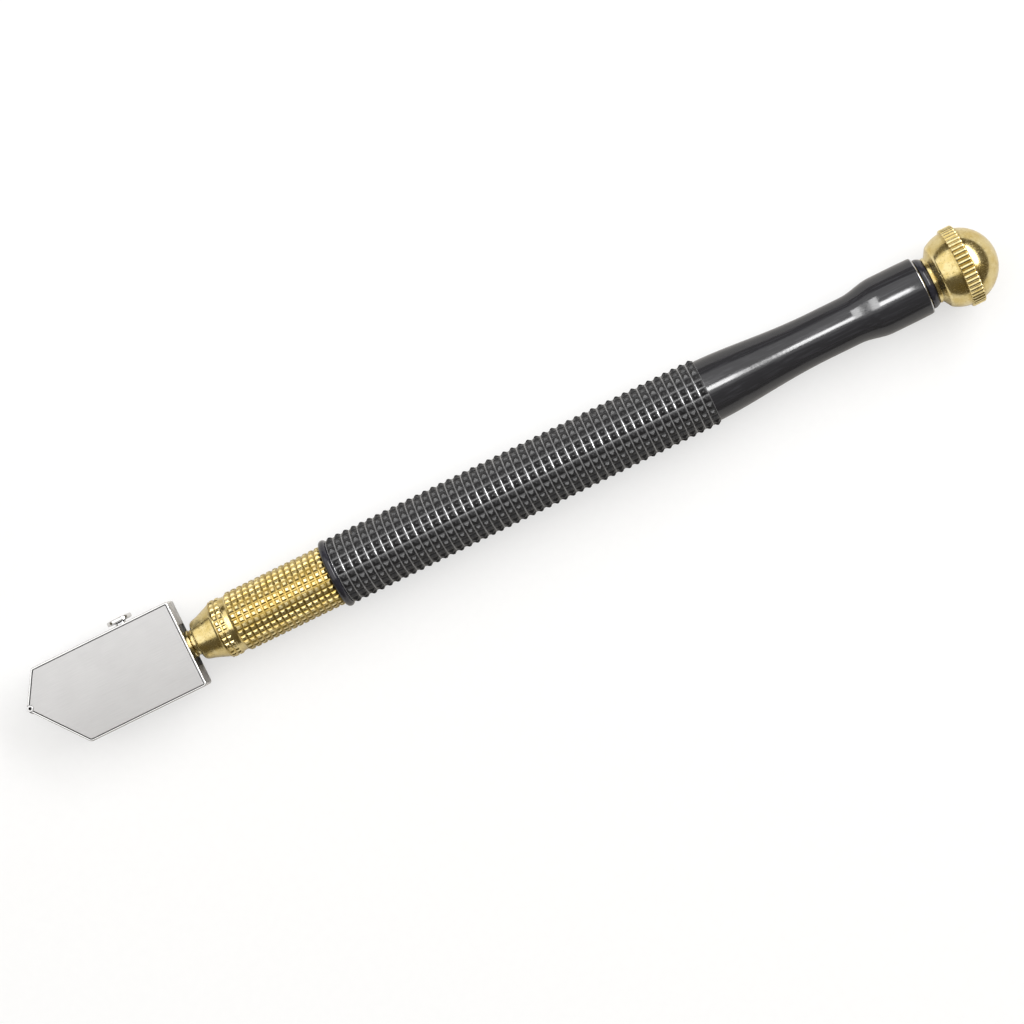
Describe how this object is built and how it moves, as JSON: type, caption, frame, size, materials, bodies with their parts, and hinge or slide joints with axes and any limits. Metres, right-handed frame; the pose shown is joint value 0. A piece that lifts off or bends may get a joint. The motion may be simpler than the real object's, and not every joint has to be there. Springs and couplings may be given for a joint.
{
  "type": "glass cutter",
  "caption": "Oil-fed pencil glass cutter: flat swivel head with a carbide wheel, sprung brass stem and nose, knurled black handle and a screw-off brass ball cap.",
  "frame": {"origin": "middle of the whole tool's bounding box", "axes": "+X along the tool from the wheel to the ball cap, +Y towards the lock screw's side, +Z square to the head's flat faces; the tool's axis runs along X at y -1.05 mm, z 0"},
  "size_m": [0.1782, 0.0166, 0.0138],
  "materials": {
    "chrome": "bright chrome plate",
    "satin_steel": "fine satin",
    "steel": "bright",
    "carbide": "ground tungsten carbide",
    "brass": "polished pale gold",
    "black_anodised": "gloss black",
    "black_plastic": "gloss black",
    "rubber": "moulded black",
    "cotton": "twisted cotton"
  },
  "bodies": {
    "handle": {"ferrule": "brass", "valve_seal": "rubber", "stem_spring": "steel", "valve_plug": "brass", "front_ring": "black_plastic", "barrel": "black_anodised", "end_bush": "black_plastic"},
    "stem": {"stem": "brass", "stem_o_ring": "rubber", "stem_wick": "cotton"},
    "head": {"head_frame": "chrome", "front_face_plate": "satin_steel", "back_face_plate": "satin_steel", "wheel_axle": "steel", "swivel_washer": "brass", "head_wick": "cotton"},
    "wheel": {"cutting_wheel": "carbide"},
    "lock_screw": {"lock_screw": "steel"},
    "cap_seal": {"cap_o_ring": "rubber"},
    "cap": {"ball_cap": "brass"}
  },
  "joints": [
    {"name": "stem_press", "type": "slide", "parent": "handle", "child": "stem", "axis": [1, 0, 0], "range_m": [0, 0.001], "stiffness_N_per_m": 500, "springref_m": -0.003, "deforming": ["stem_spring"]},
    {"name": "head_swivel", "type": "hinge", "parent": "stem", "child": "head", "pos_m": [-0.0724, -0.00105, 0], "axis": [1, 0, 0], "range_deg": [-15, 15]},
    {"name": "wheel_spin", "type": "hinge", "parent": "head", "child": "wheel", "pos_m": [-0.08797, 0.00115, 0], "axis": [0, 0, 1], "continuous": true},
    {"name": "lock_screw_turn", "type": "hinge", "parent": "head", "child": "lock_screw", "pos_m": [-0.06838, -0.00105, 0], "axis": [0, 1, 0], "range_deg": [0, 180]},
    {"name": "cap_lift", "type": "slide", "parent": "handle", "child": "cap_seal", "axis": [1, 0, 0], "range_m": [0, 0.004]},
    {"name": "cap_turn", "type": "hinge", "parent": "cap_seal", "child": "cap", "pos_m": [0.08263, -0.00105, 0], "axis": [1, 0, 0], "range_deg": [0, 1800]}
  ],
  "couplings": [
    {"joint": "cap_lift", "follows": "cap_turn", "m_per_rad": 0.00012732}
  ]
}
